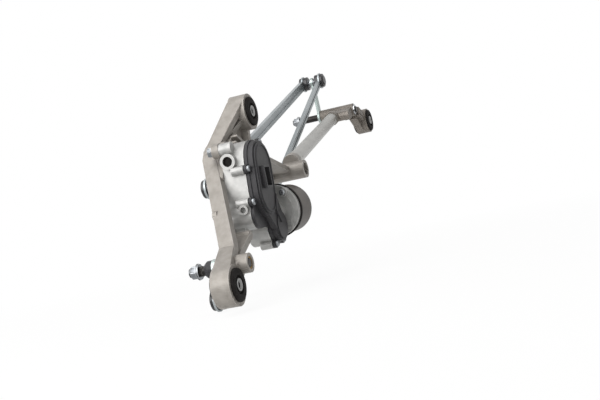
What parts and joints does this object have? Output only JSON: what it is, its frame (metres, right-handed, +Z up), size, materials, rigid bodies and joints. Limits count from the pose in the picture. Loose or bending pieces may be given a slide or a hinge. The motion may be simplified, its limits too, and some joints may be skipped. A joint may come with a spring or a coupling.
{
  "type": "wiper linkage",
  "caption": "Windscreen wiper linkage: cast frame and tube, reversing gear motor, crank, ball-jointed rods and wiper shafts.",
  "frame": {"origin": "axis of the near fixing sleeve at its lower face", "axes": "+X along the linkage to the far fixing, +Y along the wiper shafts to their tips, +Z up"},
  "size_m": [0.738, 0.1363, 0.2857],
  "materials": {
    "cast_aluminium": "satin die casting",
    "drawn_aluminium": "drawn tube",
    "rubber": "moulded matt",
    "zinc_steel": "zinc plated",
    "sintered_bronze": "sintered",
    "bright_casting": "bright die casting",
    "black_plastic": "moulded",
    "board": "laminate",
    "contact": "bright",
    "can_steel": "satin coated steel",
    "ferrite": "sintered ferrite",
    "ground_steel": "ground",
    "black_steel": "black phosphate",
    "wheel_plastic": "moulded acetal",
    "zinc_lever": "pale zinc plate",
    "pressed_steel": "zinc plated sheet"
  },
  "bodies": {
    "frame": {"main_casting": "cast_aluminium", "far_bracket": "cast_aluminium", "frame_tube": "drawn_aluminium", "near_grommet": "rubber", "upper_grommet": "rubber", "far_grommet": "rubber", "near_sleeve": "zinc_steel", "upper_sleeve": "zinc_steel", "far_sleeve": "zinc_steel", "near_bushes": "sintered_bronze", "far_bushes": "sintered_bronze", "gear_housing": "bright_casting", "gear_cover": "black_plastic", "cover_seal": "rubber", "cover_screws": "zinc_steel", "circuit_board": "board", "contact_pins": "contact", "output_bush": "sintered_bronze", "motor_screws": "zinc_steel", "motor_can": "can_steel", "can_screws": "zinc_steel", "magnets": "ferrite"},
    "armature": {"motor_shaft": "ground_steel", "armature": "ground_steel", "commutator": "contact"},
    "crank": {"output_shaft": "ground_steel", "worm_wheel": "wheel_plastic", "crank": "zinc_lever", "crank_nut": "zinc_steel", "crank_ball_studs": "ground_steel"},
    "far_shaft": {"far_shaft": "black_steel", "far_lever": "zinc_lever", "far_ball_stud": "ground_steel", "far_ring": "zinc_steel", "far_washer": "zinc_steel", "far_nut": "zinc_steel"},
    "near_shaft": {"near_shaft": "black_steel", "near_lever": "zinc_lever", "near_ball_stud": "ground_steel", "near_cap": "black_plastic", "near_washer": "zinc_steel", "near_nut": "zinc_steel"},
    "drive_rod": {"drive_rod": "pressed_steel", "drive_rod_sockets": "black_plastic"},
    "second_rod": {"second_rod": "pressed_steel", "second_rod_sockets": "black_plastic"},
    "near_rod": {"near_rod": "pressed_steel", "near_rod_sockets": "black_plastic"}
  },
  "joints": [
    {"name": "crank_turn", "type": "hinge", "parent": "frame", "child": "crank", "pos_m": [0.15, 0.06, 0.046], "axis": [0, 1, 0], "range_deg": [-45, 45]},
    {"name": "far_shaft_turn", "type": "hinge", "parent": "frame", "child": "far_shaft", "pos_m": [0.646, 0.048, 0.191], "axis": [0, 1, 0], "range_deg": [-45, 45]},
    {"name": "near_shaft_turn", "type": "hinge", "parent": "frame", "child": "near_shaft", "pos_m": [0.023, 0.03, 0.018], "axis": [0, 1, 0], "range_deg": [-45, 45]},
    {"name": "drive_rod_turn", "type": "hinge", "parent": "crank", "child": "drive_rod", "pos_m": [0.14512, 0.0705, 0.10179], "axis": [0, 1, 0], "range_deg": [-45, 45]},
    {"name": "second_rod_turn", "type": "hinge", "parent": "far_shaft", "child": "second_rod", "pos_m": [0.64112, 0.062, 0.24679], "axis": [0, 1, 0], "range_deg": [-45, 45]},
    {"name": "near_rod_turn", "type": "hinge", "parent": "crank", "child": "near_rod", "pos_m": [0.169, 0.0705, 0.01309], "axis": [0, 1, 0], "range_deg": [-45, 45]},
    {"name": "armature_turn", "type": "hinge", "parent": "frame", "child": "armature", "pos_m": [0.2, 0.012, 0.062], "axis": [1, 0, 0], "range_deg": [-1890, 1890]}
  ],
  "couplings": [
    {"joint": "far_shaft_turn", "follows": "crank_turn", "ratio": 1},
    {"joint": "near_shaft_turn", "follows": "crank_turn", "ratio": 1},
    {"joint": "drive_rod_turn", "follows": "crank_turn", "ratio": -1},
    {"joint": "second_rod_turn", "follows": "crank_turn", "ratio": -1},
    {"joint": "near_rod_turn", "follows": "crank_turn", "ratio": -1},
    {"joint": "armature_turn", "follows": "crank_turn", "ratio": 42}
  ]
}
